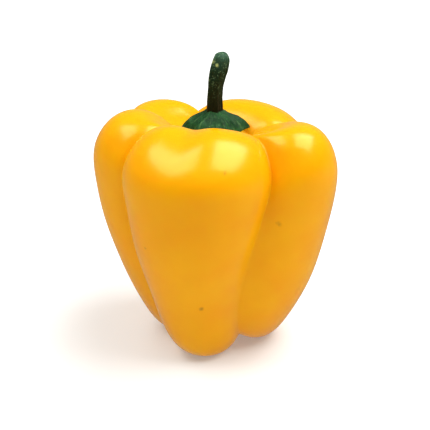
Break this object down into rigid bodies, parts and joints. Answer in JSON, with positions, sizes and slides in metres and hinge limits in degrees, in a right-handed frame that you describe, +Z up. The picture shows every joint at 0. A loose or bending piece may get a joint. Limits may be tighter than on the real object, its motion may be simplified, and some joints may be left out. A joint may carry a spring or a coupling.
{
  "type": "bell pepper",
  "caption": "Whole blocky bell pepper with rounded lobes, a toothed green calyx and a short curved stem, standing on its lobe tips.",
  "frame": {"origin": "on the ground, under the centre of the bounding box, which the stem rises from", "axes": "+Z up along the fruit from the lobe tips to the stem, -Y towards the broadest lobe, +X towards the side the stem leans to"},
  "size_m": [0.0793, 0.079, 0.0997],
  "materials": {
    "skin": "waxy semi-gloss pepper skin, ripe yellow",
    "calyx": "dull mottled green plant tissue",
    "stem": "dull dark green ribbed stalk"
  },
  "bodies": {
    "root": {"fruit": "skin", "calyx": "calyx", "stem": "stem"}
  },
  "joints": []
}
